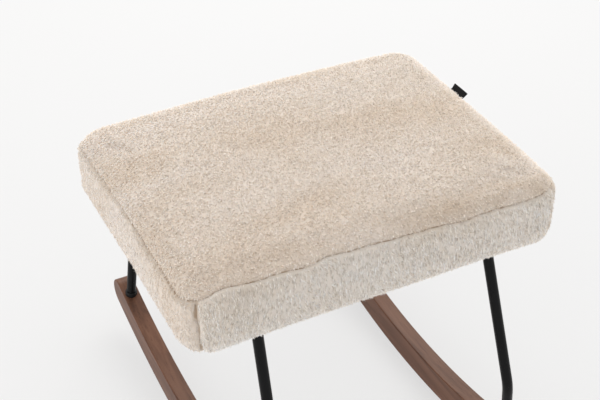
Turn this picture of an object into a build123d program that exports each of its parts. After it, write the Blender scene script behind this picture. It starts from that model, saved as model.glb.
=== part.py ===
import os
from math import asin, cos, degrees, radians, sin, sqrt

from build123d import *

os.makedirs("parts", exist_ok=True)

# Seat cushion
seat_width = 517.0
seat_depth = 386.0
seat_bottom = 342.0
seam_height = 423.0
crown_height = 443.0
crown_rise = 10.0
corner_radius = 42.0
side_draw_in = 1.5
top_round = 28.0
bottom_round = 22.0

# Fur cover, sewn from five panels with the hem turned under
cover_thickness = 4.0
seam_gap = 0.6
corner_seam_inset = 20.0
hem_width = 50.0
hem_corner_radius = 12.0
fit_gap = 0.3

# Loop tag sewn into the right seam
tag_length = 28.0
tag_thickness = 1.2
tag_y = 52.0
tag_root_inset = 9.0
tag_sewn_length = 4.1
tag_bend_radius = 3.0
tag_lift_angle = 50.0
tag_free_length = 6.3

# Board inside the foam's underside, and the dust cover below it
board_thickness = 12.0
board_inset = 24.0
board_corner_radius = 20.0
dust_thickness = 1.0
dust_inset = 36.0
dust_corner_radius = 14.0

# Steel frame under the seat
rail_width = 30.0
rail_thickness = 3.0
rail_end_round = 8.0
rail_overhang = 6.0
cross_tube_setback = 36.0
cross_tube_diameter = 14.0
cap_depth = 8.0
cap_lip = 1.5

# Bent tube legs, placed from the edges of the seat
leg_diameter = 14.0
leg_wall = 1.5
leg_bend_radius = 60.0
leg_top_inset = 96.6
leg_top_setback = 24.5
leg_bend_inset = 89.5
leg_bend_overhang = 48.5
leg_bend_z = 159.0
leg_foot_overhang = 47.0
insert_length = 18.0

# Curved wooden runners
runner_inset = 80.0
runner_width = 25.0
runner_depth = 42.0
runner_radius = 904.0
runner_overhang = 93.0
runner_edge_round = 1.8
socket_depth = 20.0
socket_gap = 0.1

# Ferrule around each leg where it enters a runner
ferrule_wall = 1.9
ferrule_height = 4.5
ferrule_round = 1.0
ferrule_gap = 0.05

# Fasteners
bolt_diameter = 6.0
bolt_hole = 6.6
tapped_hole = 6.2
bolt_head_diameter = 11.0
bolt_head_height = 3.3
bolt_head_round = 1.5
hex_socket = 4.0
hex_socket_depth = 2.0
washer_diameter = 12.5
washer_thickness = 1.2
counterbore_gap = 0.75
counterbore_depth = 9.0
seat_bolt_spacing = 90.0
seat_bolt_rows = 3
tee_nut_barrel = 8.0
tee_nut_flange = 19.0
tee_nut_flange_thickness = 1.5
tee_nut_clearance = 0.1
tee_nut_foot = 1.0

# Heights and axes that follow from the sizes above
board_bottom = seat_bottom + cover_thickness + fit_gap
board_top = board_bottom + board_thickness
leg_top_x = seat_width / 2 - leg_top_inset
leg_top_y = seat_depth / 2 - leg_top_setback
leg_bend_x = seat_width / 2 - leg_bend_inset
leg_bend_y = seat_depth / 2 + leg_bend_overhang
leg_foot_y = seat_depth / 2 + leg_foot_overhang
runner_centre_x = seat_width / 2 - runner_inset
runner_reach = seat_depth / 2 + runner_overhang
cross_tube_y = leg_top_y - cross_tube_setback
rail_top = seat_bottom - dust_thickness
rail_bottom = rail_top - rail_thickness
crown_radius = ((seat_width / 2) ** 2 + (seat_depth / 2) ** 2) / (2 * crown_rise)
runner_top_radius = runner_radius - runner_depth
runner_mid_radius = runner_radius - runner_depth / 2
runner_half_angle = degrees(asin((runner_reach - runner_depth / 2) / runner_mid_radius))
foot_z = runner_radius - sqrt(runner_top_radius**2 - leg_foot_y**2)
foot_under_z = runner_radius - sqrt(runner_radius**2 - leg_foot_y**2)
leg_bore = leg_diameter - 2 * leg_wall
corner_seam_x = seat_width / 2 - corner_seam_inset
seat_bolt_y = [seat_bolt_spacing * (row - (seat_bolt_rows - 1) / 2) for row in range(seat_bolt_rows)]
seat_bolt_points = [(side * leg_top_x, y) for side in (-1, 1) for y in seat_bolt_y]
leg_sides = {
    "front_left": (-1, -1),
    "front_right": (1, -1),
    "back_left": (-1, 1),
    "back_right": (1, 1),
}


def save(piece, node):
    piece.part.label = node
    export_step(piece.part, f"parts/{node}.step")


# The cushion's outer form, or the same form drawn inwards by an even inset
def cushion_form(inset):
    half_w = seat_width / 2 - inset
    half_d = seat_depth / 2 - inset
    with BuildPart() as form:
        with BuildSketch(Plane.XY.offset(seat_bottom + inset)):
            with BuildLine():
                ThreePointArc((-half_w, -half_d), (0, side_draw_in - half_d), (half_w, -half_d))
                ThreePointArc((half_w, -half_d), (half_w - side_draw_in, 0), (half_w, half_d))
                ThreePointArc((half_w, half_d), (0, half_d - side_draw_in), (-half_w, half_d))
                ThreePointArc((-half_w, half_d), (side_draw_in - half_w, 0), (-half_w, -half_d))
            make_face()
            fillet(vertices(), corner_radius - inset)
        extrude(amount=crown_height - seat_bottom)
        with Locations((0, 0, crown_height - crown_radius)):
            Sphere(crown_radius - inset, rotation=(90, 0, 0), mode=Mode.INTERSECT)
        fillet(form.faces().sort_by(Axis.Z)[-1].edges(), top_round - inset)
        fillet(form.faces().sort_by(Axis.Z)[0].edges(), bottom_round - inset)
    return form.part


outer_form = cushion_form(0)
inner_form = cushion_form(cover_thickness)
fill_form = cushion_form(cover_thickness + fit_gap)

# Cover before it is parted at its seams: hollow, with a hem round the open underside
with BuildPart() as cover:
    add(outer_form)
    add(inner_form, mode=Mode.SUBTRACT)
    with BuildSketch(Plane.XY.offset(seat_bottom)):
        RectangleRounded(seat_width - 2 * hem_width, seat_depth - 2 * hem_width, hem_corner_radius)
    extrude(amount=cover_thickness, mode=Mode.SUBTRACT)

# Slit in the right seam that takes the tag, which bends up as it leaves it
tag_root_x = seat_width / 2 - tag_root_inset
tag_plane = Plane.XZ.offset(-(tag_y + tag_length / 2))

with BuildPart() as label_tag:
    with BuildSketch(tag_plane):
        with BuildLine() as tag_line:
            sewn = Line((tag_root_x, seam_height), (tag_root_x + tag_sewn_length, seam_height))
            bend = JernArc(sewn @ 1, sewn % 1, tag_bend_radius, tag_lift_angle)
            Line(bend @ 1, bend @ 1 + (bend % 1) * tag_free_length)
        trace(line_width=tag_thickness)
    extrude(amount=tag_length)
    tag_axis = Axis((0, 0, 0), (cos(radians(tag_lift_angle)), 0, sin(radians(tag_lift_angle))))
    fillet(label_tag.edges().filter_by(Axis.Y).group_by(tag_axis)[-1], tag_thickness * 0.45)
save(label_tag, "label_tag")

with BuildPart() as tag_slit:
    with Locations((tag_root_x - fit_gap, tag_y, seam_height)):
        Box(
            tag_root_inset,
            tag_length + 2 * fit_gap,
            tag_thickness + 2 * fit_gap,
            align=(Align.MIN, Align.CENTER, Align.CENTER),
        )

with BuildPart() as cover_top_panel:
    add(cover.part)
    split(bisect_by=Plane.XY.offset(seam_height + seam_gap / 2), keep=Keep.TOP)
    add(tag_slit.part, mode=Mode.SUBTRACT)
save(cover_top_panel, "cover_top_panel")

with BuildPart() as boxing_band:
    add(cover.part)
    split(bisect_by=Plane.XY.offset(seam_height - seam_gap / 2), keep=Keep.BOTTOM)
    add(tag_slit.part, mode=Mode.SUBTRACT)


# Space that the front or back boxing fills, from its hem out to beyond the cushion
def boxing_space(side, gap):
    with BuildPart() as space:
        with Locations((0, side * (seat_depth / 2 - hem_width - gap), 0)):
            Box(
                2 * (corner_seam_x + gap),
                2 * hem_width,
                crown_height,
                align=(Align.CENTER, Align.MIN if side > 0 else Align.MAX, Align.MIN),
            )
    return space.part


for side, node in ((-1, "cover_front_boxing"), (1, "cover_back_boxing")):
    with BuildPart() as end_boxing:
        add(boxing_band.part)
        add(boxing_space(side, 0), mode=Mode.INTERSECT)
    save(end_boxing, node)

for keep, node in ((Keep.BOTTOM, "cover_left_boxing"), (Keep.TOP, "cover_right_boxing")):
    with BuildPart() as side_boxing:
        add(boxing_band.part)
        add(boxing_space(-1, seam_gap), mode=Mode.SUBTRACT)
        add(boxing_space(1, seam_gap), mode=Mode.SUBTRACT)
        split(bisect_by=Plane.YZ, keep=keep)
    save(side_boxing, node)

with BuildPart() as foam_block:
    add(fill_form)
    with BuildSketch(Plane.XY.offset(board_bottom)):
        RectangleRounded(
            seat_width - 2 * (board_inset - fit_gap),
            seat_depth - 2 * (board_inset - fit_gap),
            board_corner_radius + fit_gap,
        )
    extrude(amount=board_thickness, mode=Mode.SUBTRACT)
save(foam_block, "foam_block")

with BuildPart() as seat_board:
    with BuildSketch(Plane.XY.offset(board_bottom)):
        RectangleRounded(seat_width - 2 * board_inset, seat_depth - 2 * board_inset, board_corner_radius)
        with Locations(*seat_bolt_points):
            Circle(tee_nut_barrel / 2 + tee_nut_clearance, mode=Mode.SUBTRACT)
    extrude(amount=board_thickness)
    with BuildSketch(Plane.XY.offset(board_top)):
        with Locations(*seat_bolt_points):
            Circle(tee_nut_flange / 2 + tee_nut_clearance)
    extrude(amount=-tee_nut_flange_thickness, mode=Mode.SUBTRACT)
save(seat_board, "seat_board")

with BuildPart() as dust_cover:
    with BuildSketch(Plane.XY.offset(rail_top)):
        RectangleRounded(seat_width - 2 * dust_inset, seat_depth - 2 * dust_inset, dust_corner_radius)
        with Locations(*seat_bolt_points):
            Circle(bolt_hole / 2, mode=Mode.SUBTRACT)
    extrude(amount=dust_thickness)
save(dust_cover, "dust_cover")

rail_length = 2 * (leg_top_y + rail_overhang)
for side, node in ((-1, "rail_left"), (1, "rail_right")):
    with BuildPart() as rail:
        with BuildSketch(Plane.XY.offset(rail_bottom)):
            with Locations((side * leg_top_x, 0)):
                RectangleRounded(rail_width, rail_length, rail_end_round)
            with Locations(*[(side * leg_top_x, y) for y in seat_bolt_y]):
                Circle(bolt_hole / 2, mode=Mode.SUBTRACT)
        extrude(amount=rail_thickness)
    save(rail, node)

cross_tube_z = rail_bottom - cross_tube_diameter / 2
cross_tube_half = leg_top_x + rail_width / 2
cross_tube_bore = cross_tube_diameter - 2 * leg_wall
for side, node in ((-1, "cross_tube_front"), (1, "cross_tube_back")):
    with BuildPart() as cross_tube:
        with BuildSketch(Plane.YZ):
            with Locations((side * cross_tube_y, cross_tube_z)):
                Circle(cross_tube_diameter / 2)
                Circle(cross_tube_bore / 2, mode=Mode.SUBTRACT)
        extrude(amount=cross_tube_half, both=True)
    save(cross_tube, node)

with BuildPart() as cross_tube_caps:
    for side in (-1, 1):
        with BuildSketch(Plane.YZ.offset(side * cross_tube_half)):
            with Locations((-cross_tube_y, cross_tube_z), (cross_tube_y, cross_tube_z)):
                Circle(cross_tube_diameter / 2)
        extrude(amount=side * cap_lip)
        with BuildSketch(Plane.YZ.offset(side * cross_tube_half)):
            with Locations((-cross_tube_y, cross_tube_z), (cross_tube_y, cross_tube_z)):
                Circle(cross_tube_bore / 2 - socket_gap)
        extrude(amount=-side * cap_depth)
save(cross_tube_caps, "cross_tube_caps")


# Plane at a leg's foot, on the runner's top: its Z runs up the lower part of the leg
def foot_plane(side_x, side_y):
    foot = Vector(side_x * runner_centre_x, side_y * leg_foot_y, foot_z)
    bend = Vector(side_x * leg_bend_x, side_y * leg_bend_y, leg_bend_z)
    return Plane(origin=foot, x_dir=(1, 0, 0), z_dir=bend - foot)


for place, (side_x, side_y) in leg_sides.items():
    foot = foot_plane(side_x, side_y)
    leg_top = Vector(side_x * leg_top_x, side_y * leg_top_y, rail_bottom)
    leg_bend = Vector(side_x * leg_bend_x, side_y * leg_bend_y, leg_bend_z)
    leg_tip = leg_top + (leg_top - leg_bend).normalized() * leg_diameter
    leg_end = foot.origin - foot.z_dir * socket_depth

    with BuildPart() as leg:
        with BuildLine() as leg_path:
            FilletPolyline(leg_tip, leg_bend, leg_end, radius=leg_bend_radius)
        with BuildSketch(Plane(origin=leg_path.line @ 0, z_dir=leg_path.line % 0)):
            Circle(leg_diameter / 2)
            Circle(leg_bore / 2, mode=Mode.SUBTRACT)
        sweep(path=leg_path.line)
        split(bisect_by=Plane.XY.offset(rail_bottom), keep=Keep.BOTTOM)
    save(leg, f"leg_{place}")

    with BuildPart() as ferrule:
        with BuildSketch(foot.offset(-ferrule_height)):
            Circle(leg_diameter / 2 + ferrule_wall)
            Circle(leg_diameter / 2 + ferrule_gap, mode=Mode.SUBTRACT)
        extrude(amount=2 * ferrule_height)
        upper_edges = ferrule.edges().group_by(Axis(foot.origin, foot.z_dir))[-1]
        fillet(upper_edges.sort_by(SortBy.LENGTH)[-1], ferrule_round)
        with Locations((side_x * runner_centre_x, 0, runner_radius)):
            Cylinder(runner_top_radius, runner_width, rotation=(0, 90, 0), mode=Mode.INTERSECT)
    save(ferrule, f"ferrule_{place}")

with BuildPart() as leg_inserts:
    for side_x, side_y in leg_sides.values():
        with BuildSketch(foot_plane(side_x, side_y).offset(-socket_depth)):
            Circle(leg_bore / 2)
            Circle(tapped_hole / 2, mode=Mode.SUBTRACT)
        extrude(amount=insert_length)
save(leg_inserts, "leg_inserts")

# Depths along a leg's axis, measured down from its foot plane
runner_through = foot_z - foot_under_z
washer_seat = runner_through - counterbore_depth

for side_x, node in ((-1, "runner_left"), (1, "runner_right")):
    with BuildPart() as runner:
        with BuildSketch(Plane.YZ.offset(side_x * runner_centre_x - runner_width / 2)):
            with BuildLine(mode=Mode.PRIVATE) as runner_line:
                CenterArc(
                    (0, runner_radius), runner_mid_radius, 270 - runner_half_angle, 2 * runner_half_angle
                )
            SlotArc(arc=runner_line.edge(), height=runner_depth)
        extrude(amount=runner_width)
        fillet(runner.faces().filter_by(Axis.X).edges(), runner_edge_round)
        for side_y in (-1, 1):
            foot = foot_plane(side_x, side_y)
            with BuildSketch(foot.offset(-socket_depth)):
                Circle(leg_diameter / 2 + socket_gap)
            extrude(amount=2 * socket_depth, mode=Mode.SUBTRACT)
            with BuildSketch(foot.offset(-socket_depth)):
                Circle(bolt_hole / 2)
            extrude(amount=-runner_depth, mode=Mode.SUBTRACT)
            with BuildSketch(foot.offset(-washer_seat)):
                Circle(washer_diameter / 2 + counterbore_gap)
            extrude(amount=-runner_depth, mode=Mode.SUBTRACT)
    save(runner, node)


# Button-head bolt with its head's seat on the XY plane and its shank above
def button_bolt(shank):
    with BuildPart() as bolt:
        with BuildSketch():
            Circle(bolt_head_diameter / 2)
        extrude(amount=-bolt_head_height)
        fillet(bolt.edges().group_by(Axis.Z)[0], bolt_head_round)
        with BuildSketch():
            Circle(bolt_diameter / 2)
        extrude(amount=shank)
        with BuildSketch(Plane.XY.offset(-bolt_head_height)):
            RegularPolygon(hex_socket / 2, 6, major_radius=False)
        extrude(amount=hex_socket_depth, mode=Mode.SUBTRACT)
    return bolt.part


runner_bolt = button_bolt(washer_seat + washer_thickness - socket_depth + insert_length)
with BuildPart() as runner_bolts:
    for side_x, side_y in leg_sides.values():
        bolt_seat = foot_plane(side_x, side_y).offset(-washer_seat - washer_thickness)
        add(runner_bolt.moved(bolt_seat.location))
save(runner_bolts, "runner_bolts")

with BuildPart() as runner_bolt_washers:
    for side_x, side_y in leg_sides.values():
        with BuildSketch(foot_plane(side_x, side_y).offset(-washer_seat)):
            Circle(washer_diameter / 2)
            Circle(bolt_hole / 2, mode=Mode.SUBTRACT)
        extrude(amount=-washer_thickness)
save(runner_bolt_washers, "runner_bolt_washers")

seat_bolt_seat = rail_bottom - washer_thickness
tee_nut_bottom = board_bottom + tee_nut_foot
tee_nut_top = board_top - tee_nut_flange_thickness

seat_bolt = button_bolt(tee_nut_top - seat_bolt_seat)
with BuildPart() as seat_bolts:
    for x, y in seat_bolt_points:
        add(seat_bolt.moved(Location((x, y, seat_bolt_seat))))
save(seat_bolts, "seat_bolts")

with BuildPart() as seat_bolt_washers:
    with BuildSketch(Plane.XY.offset(rail_bottom)):
        with Locations(*seat_bolt_points):
            Circle(washer_diameter / 2)
            Circle(bolt_hole / 2, mode=Mode.SUBTRACT)
    extrude(amount=-washer_thickness)
save(seat_bolt_washers, "seat_bolt_washers")

with BuildPart() as tee_nuts:
    with BuildSketch(Plane.XY.offset(tee_nut_bottom)):
        with Locations(*seat_bolt_points):
            Circle(tee_nut_barrel / 2)
            Circle(tapped_hole / 2, mode=Mode.SUBTRACT)
    extrude(amount=tee_nut_top - tee_nut_bottom)
    with BuildSketch(Plane.XY.offset(tee_nut_top)):
        with Locations(*seat_bolt_points):
            Circle(tee_nut_flange / 2)
            Circle(tapped_hole / 2, mode=Mode.SUBTRACT)
    extrude(amount=tee_nut_flange_thickness)
save(tee_nuts, "tee_nuts")
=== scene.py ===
import math

import bpy
from mathutils import Matrix, Vector, noise


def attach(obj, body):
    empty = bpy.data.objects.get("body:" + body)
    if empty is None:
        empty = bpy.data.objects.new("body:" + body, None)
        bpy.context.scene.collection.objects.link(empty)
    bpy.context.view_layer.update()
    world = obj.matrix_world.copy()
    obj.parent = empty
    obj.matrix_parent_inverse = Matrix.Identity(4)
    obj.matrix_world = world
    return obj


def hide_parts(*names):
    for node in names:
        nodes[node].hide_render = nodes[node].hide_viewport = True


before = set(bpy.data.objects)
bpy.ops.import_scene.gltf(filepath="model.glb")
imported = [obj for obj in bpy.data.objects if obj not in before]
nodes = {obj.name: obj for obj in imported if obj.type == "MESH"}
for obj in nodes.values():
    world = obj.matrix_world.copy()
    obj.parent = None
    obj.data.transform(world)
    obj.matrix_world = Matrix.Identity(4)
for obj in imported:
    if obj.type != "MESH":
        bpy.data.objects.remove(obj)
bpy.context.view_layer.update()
scene = bpy.context.scene
print("frame loaded with", len(nodes), "nodes")

# places of the sockets whose names repeat within their node
mixSockets = {"factor": 0, "a": 6, "b": 7, "result": 2}
compareSockets = {"a": 2, "b": 3}
randomSockets = {"vector": 0, "float": 1}

white = (1.0, 1.0, 1.0)


# helpers that the finishes and the node groups share

# a node's own settings come first; then a socket is linked to its input, and a plain value is set on it
def addNode(tree, kind, inputs=None, **settings):
    node = tree.nodes.new(kind)
    for key, value in settings.items():
        setattr(node, key, value)
    for key, value in (inputs or {}).items():
        if isinstance(value, bpy.types.NodeSocket):
            tree.links.new(value, node.inputs[key])
        else:
            node.inputs[key].default_value = value
    return node


def mathOn(tree, operation, *values):
    return addNode(tree, "ShaderNodeMath", dict(enumerate(values)), operation=operation).outputs[0]


def vectorOn(tree, operation, a, b):
    second = "Scale" if operation == "SCALE" else 1
    return addNode(tree, "ShaderNodeVectorMath", {0: a, second: b}, operation=operation).outputs[0]


def rangeOn(tree, value, into, source=(0.0, 1.0), clamp=True):
    limits = dict(zip(("From Min", "From Max", "To Min", "To Max"), (*source, *into)))
    return addNode(tree, "ShaderNodeMapRange", {"Value": value, **limits}, clamp=clamp).outputs["Result"]


def newMaterial(name, settings):
    mat = bpy.data.materials.new(name)
    mat.use_nodes = True
    shader = mat.node_tree.nodes["Principled BSDF"]
    for socketName, value in settings.items():
        shader.inputs[socketName].default_value = value
    return mat, mat.node_tree, shader


def objectCoords(tree, scale=(1, 1, 1), turn=(0, 0, 0)):
    coords = addNode(tree, "ShaderNodeTexCoord").outputs["Object"]
    return addNode(tree, "ShaderNodeMapping", {
        "Vector": coords, "Scale": scale, "Rotation": turn,
    }).outputs["Vector"]


def noiseOn(tree, vector, scale, detail=4.0, rough=0.5, distort=0.0):
    return addNode(tree, "ShaderNodeTexNoise", {
        "Vector": vector, "Scale": scale, "Detail": detail, "Roughness": rough, "Distortion": distort,
    }).outputs["Fac"]


def rampOn(tree, factor, stops):
    ramp = addNode(tree, "ShaderNodeValToRGB", {"Fac": factor})
    while len(ramp.color_ramp.elements) < len(stops):
        ramp.color_ramp.elements.new(0.5)
    for element, (place, colour) in zip(ramp.color_ramp.elements, stops):
        element.position = place
        element.color = (*colour, 1)
    return ramp.outputs["Color"]


def mixColours(tree, factor, a, b, blend="MIX"):
    mix = addNode(tree, "ShaderNodeMix", {
        mixSockets["factor"]: factor, mixSockets["a"]: a, mixSockets["b"]: b,
    }, data_type="RGBA", blend_type=blend)
    return mix.outputs[mixSockets["result"]]


def bumpFrom(tree, shader, height, strength, depth):
    bump = addNode(tree, "ShaderNodeBump", {"Height": height, "Strength": strength, "Distance": depth})
    tree.links.new(bump.outputs["Normal"], shader.inputs["Normal"])


def roughFrom(tree, shader, factor, spread):
    tree.links.new(rangeOn(tree, factor, spread), shader.inputs["Roughness"])


def colourFrom(tree, shader, colour):
    tree.links.new(colour, shader.inputs["Base Color"])


# coated, moulded and plated stock; a bump is a strength and a depth in metres
stockLook = {
    "powder coat": {
        "shader": {"Specular IOR Level": 0.13},
        "stretch": (1, 1, 1),
        "cloud": {"scale": 35.0, "detail": 3.0},
        "grain": {"scale": 900.0, "detail": 1.0},
        "tonesBy": "cloud",
        "tones": [(0.3, (0.0044, 0.0044, 0.0048)), (0.7, (0.0055, 0.0055, 0.0060))],
        "roughBy": "cloud",
        "rough": (0.24, 0.33),
        "bump": (0.25, 0.0003),
    },
    "moulded plastic": {
        "shader": {"Specular IOR Level": 0.25},
        "stretch": (1, 1, 1),
        "cloud": {"scale": 60.0},
        "grain": {"scale": 1300.0, "detail": 2.0},
        "tonesBy": "grain",
        "tones": [(0.3, (0.00525, 0.00525, 0.005625)), (0.7, (0.007, 0.007, 0.0075))],
        "roughBy": "cloud",
        "rough": (0.48, 0.62),
        "bump": (0.3, 0.0002),
    },
    "zinc plate": {
        "shader": {"Metallic": 1.0},
        "stretch": (1, 1, 0.3),
        "cloud": {"scale": 90.0, "detail": 2.0},
        "grain": {"scale": 700.0, "detail": 3.0},
        "tonesBy": "cloud",
        "tones": [(0.35, (0.5084, 0.5166, 0.533)), (0.65, (0.62, 0.63, 0.65))],
        "roughBy": "grain",
        "rough": (0.24, 0.40),
        "bump": (0.15, 0.0001),
    },
}
stockLook["black oxide"] = {
    **stockLook["zinc plate"],
    "shader": {"Metallic": 0.7},
    "tones": [(0.35, (0.0287, 0.02788, 0.02952)), (0.65, (0.035, 0.034, 0.036))],
    "rough": (0.32, 0.46),
}


def makeStock(name):
    look = stockLook[name]
    mat, tree, shader = newMaterial(name, look["shader"])
    coords = objectCoords(tree, scale=look["stretch"])
    by = {kind: noiseOn(tree, coords, **look[kind]) for kind in ("cloud", "grain")}
    colourFrom(tree, shader, rampOn(tree, by[look["tonesBy"]], look["tones"]))
    roughFrom(tree, shader, by[look["roughBy"]], look["rough"])
    bumpFrom(tree, shader, by["grain"], *look["bump"])
    return mat


# stained walnut of the runners, its grain along their length
walnutLook = {
    "shader": {"Specular IOR Level": 0.22, "Coat Weight": 0.06, "Coat Roughness": 0.30},
    "grainStretch": (1.0, 0.055, 1.0),
    "figure": {"scale": 95.0, "detail": 5.0, "rough": 0.55, "distort": 0.5},
    "tones": [(0.28, (0.097, 0.040, 0.021)), (0.50, (0.146, 0.063, 0.034)), (0.74, (0.190, 0.087, 0.049))],
    "broad": {"scale": 22.0, "detail": 2.0, "distort": 0.4},
    "broadTones": [(0.30, (0.80, 0.78, 0.76)), (0.70, (1.08, 1.06, 1.04))],
    "poreStretch": (1.0, 0.035, 1.0),
    "pores": {"scale": 620.0, "detail": 2.0},
    "poreTones": [(0.30, (0.55, 0.52, 0.50)), (0.40, white)],
    "poreShare": 0.7,
    "rough": (0.52, 0.40),
    "bump": (0.12, 0.0003),
}


def makeWalnut():
    mat, tree, shader = newMaterial("stained walnut", walnutLook["shader"])
    lengthwise = objectCoords(tree, scale=walnutLook["grainStretch"])
    figure = noiseOn(tree, lengthwise, **walnutLook["figure"])
    broad = noiseOn(tree, lengthwise, **walnutLook["broad"])
    pores = noiseOn(tree, objectCoords(tree, scale=walnutLook["poreStretch"]), **walnutLook["pores"])
    wood = rampOn(tree, figure, walnutLook["tones"])
    wood = mixColours(tree, 1.0, wood, rampOn(tree, broad, walnutLook["broadTones"]), "MULTIPLY")
    pits = rampOn(tree, pores, walnutLook["poreTones"])
    colourFrom(tree, shader, mixColours(tree, walnutLook["poreShare"], wood, pits, "MULTIPLY"))
    roughFrom(tree, shader, figure, walnutLook["rough"])
    bumpFrom(tree, shader, pores, *walnutLook["bump"])
    return mat


# birch ply of the seat board, its plies seen at the edges
plyLook = {
    "specular": 0.3,
    "plyStretch": (0.02, 0.02, 1.0),
    "plies": {"scale": 600.0, "detail": 1.0},
    "plyTones": [(0.4, (0.75, 0.72, 0.70)), (0.6, white)],
    "plyShare": 0.6,
    "grainStretch": (0.05, 1.0, 1.0),
    "grain": {"scale": 160.0, "detail": 5.0},
    "tones": [(0.3, (0.50, 0.35, 0.20)), (0.7, (0.66, 0.50, 0.32))],
    "rough": (0.6, 0.8),
    "bump": (0.15, 0.0003),
}


def makePly():
    mat, tree, shader = newMaterial("birch ply", {"Specular IOR Level": plyLook["specular"]})
    plies = noiseOn(tree, objectCoords(tree, scale=plyLook["plyStretch"]), **plyLook["plies"])
    grain = noiseOn(tree, objectCoords(tree, scale=plyLook["grainStretch"]), **plyLook["grain"])
    wood = rampOn(tree, grain, plyLook["tones"])
    layers = rampOn(tree, plies, plyLook["plyTones"])
    colourFrom(tree, shader, mixColours(tree, plyLook["plyShare"], wood, layers, "MULTIPLY"))
    roughFrom(tree, shader, grain, plyLook["rough"])
    bumpFrom(tree, shader, grain, *plyLook["bump"])
    return mat


zincPlate = makeStock("zinc plate")
finishes = (
    (makeStock("powder coat"), ("rail_", "cross_tube_front", "cross_tube_back", "leg_front", "leg_back")),
    (makeStock("moulded plastic"), ("cross_tube_caps", "ferrule_")),
    (makeStock("black oxide"), ("runner_bolts", "seat_bolts")),
    (zincPlate, ("leg_inserts", "runner_bolt_washers", "seat_bolt_washers", "tee_nuts")),
    (makeWalnut(), ("runner_left", "runner_right")),
    (makePly(), ("seat_board",)),
)
for nodeName, node in nodes.items():
    for finish, nameStarts in finishes:
        if nodeName.startswith(nameStarts):
            node.data.materials.clear()
            node.data.materials.append(finish)
print("hard finishes set")


# fur: pale tips over warmer, darker roots, partly the fur's own tone and partly painted shade deep in the
# pile, in soft patches; the cover below shows the roots' colour
furLook = {
    # one fur in three tones by how its pile lies; they differ by painted light and shade for how the light
    # falls on the top, the sides and the front, the sides' tone lowered to offset their painted light
    "lying": {
        "name": "fur lying", "colour": (0.925, 0.855, 0.785),
        "strand": (0.88, 0.865, 0.85), "sunkShade": (0.56, 0.51, 0.46), "root": (0.93, 0.91, 0.89),
    },
    "side": {
        "name": "fur on the sides", "colour": (0.738, 0.665, 0.600),
        "strand": (0.90, 0.89, 0.87), "sunkShade": (0.84, 0.82, 0.79), "root": (0.93, 0.91, 0.89),
    },
    "hanging": {
        "name": "fur hanging", "colour": (0.955, 0.915, 0.865),
        "strand": (0.90, 0.885, 0.87), "sunkShade": (0.54, 0.50, 0.46), "root": (0.90, 0.88, 0.86),
    },
    "strandPale": 0.6,
    "rootPale": 0.75,
    "riseRange": (-0.13, 0.05),
    "patches": {"scale": 11.0, "detail": 5.0, "distort": 0.2},
    "patchStretch": (0.4, 1.0, 1.0),
    "patchStops": (0.34, 0.5, 0.66),
    "patchShade": (0.945, 0.915, 0.88),
    "patchLight": (1.02, 1.035, 1.06),
    # seams darker: the backing and thread's own tone, with painted shade in the furrow
    "seamShade": (0.60, 0.52, 0.44),
    "seamPale": 0.40,
    # darker along the top's front edge: partly pressed pile, partly painted shade where the top curves down
    "pressedAndPaintedShade": (0.91, 0.875, 0.83),
    "shader": {
        "Roughness": 0.95,
        "Specular IOR Level": 0.10,
        "Sheen Weight": 0.3,
        "Sheen Roughness": 0.5,
        "Sheen Tint": (1.0, 0.97, 0.94, 1),
        "Subsurface Weight": 0.6,
        "Subsurface Radius": (1.0, 0.85, 0.70),
        "Subsurface Scale": 0.0015,
    },
}


def makeFur(kind):
    fur = furLook[kind]
    mat, tree, shader = newMaterial(fur["name"], furLook["shader"])

    def shade(tint):
        return tuple(min(1.0, c * t) for c, t in zip(fur["colour"], tint))

    def level(name):
        return addNode(tree, "ShaderNodeAttribute", attribute_name=name).outputs["Fac"]

    tones = (shade(furLook["patchShade"]), fur["colour"], shade(furLook["patchLight"]))
    patches = noiseOn(tree, objectCoords(tree, scale=furLook["patchStretch"]), **furLook["patches"])
    ground = rampOn(tree, patches, list(zip(furLook["patchStops"], tones)))
    paler = rampOn(tree, level("tuft"), [(0.0, fur["strand"]), (furLook["strandPale"], white)])
    # roots darker than tips: partly the fur's own tone, partly painted shade deep in the pile
    rootToneAndShade = rampOn(tree, level("tip"), [(0.0, fur["root"]), (furLook["rootPale"], white)])
    # darker in the seams: the backing and thread's own tone, with painted shade in the furrow
    sewn = rampOn(tree, level("furred"), [(0.0, furLook["seamShade"]), (furLook["seamPale"], white)])
    # painted shade: strands in sunk tufts and at the borders of clumps are darker, as if shaded by the risen
    # tufts
    risen = rangeOn(tree, level("rise"), (0.0, 1.0), source=furLook["riseRange"])
    lit = rampOn(tree, risen, [(0.0, fur["sunkShade"]), (1.0, white)])
    # darker along the top's front edge: partly pressed pile, partly painted shade where the top curves down
    # to the front seam
    pressedAndShaded = rampOn(tree, level("pressed"), [(0.0, white), (1.0, furLook["pressedAndPaintedShade"])])
    # where the pile is combed smooth, its strands are of one tone, without their sunk shade: a painted light
    # at the edges and on the sides
    combedAndLit = level("combedAndLit")
    paler = mixColours(tree, combedAndLit, paler, (*white, 1))
    lit = mixColours(tree, combedAndLit, lit, (*white, 1))
    for layer in (paler, rootToneAndShade, sewn, lit, pressedAndShaded):
        ground = mixColours(tree, 1.0, ground, layer, "MULTIPLY")
    colourFrom(tree, shader, ground)
    return mat


# the cover's panels: a number for the faces of each, the fur that it is cut from and its strands' piece
coverPanels = {
    "topLeft": {"number": 0, "fur": "lying", "strands": "furTopLeft"},
    "topRight": {"number": 6, "fur": "lying", "strands": "furTopRight"},
    "front": {"number": 1, "fur": "hanging", "strands": "furFront"},
    "back": {"number": 2, "fur": "hanging", "strands": "furBack"},
    "left": {"number": 3, "fur": "side", "strands": "furLeft"},
    "right": {"number": 4, "fur": "side", "strands": "furRight"},
    "under": {"number": 5, "fur": "hanging", "strands": None},
}

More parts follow.
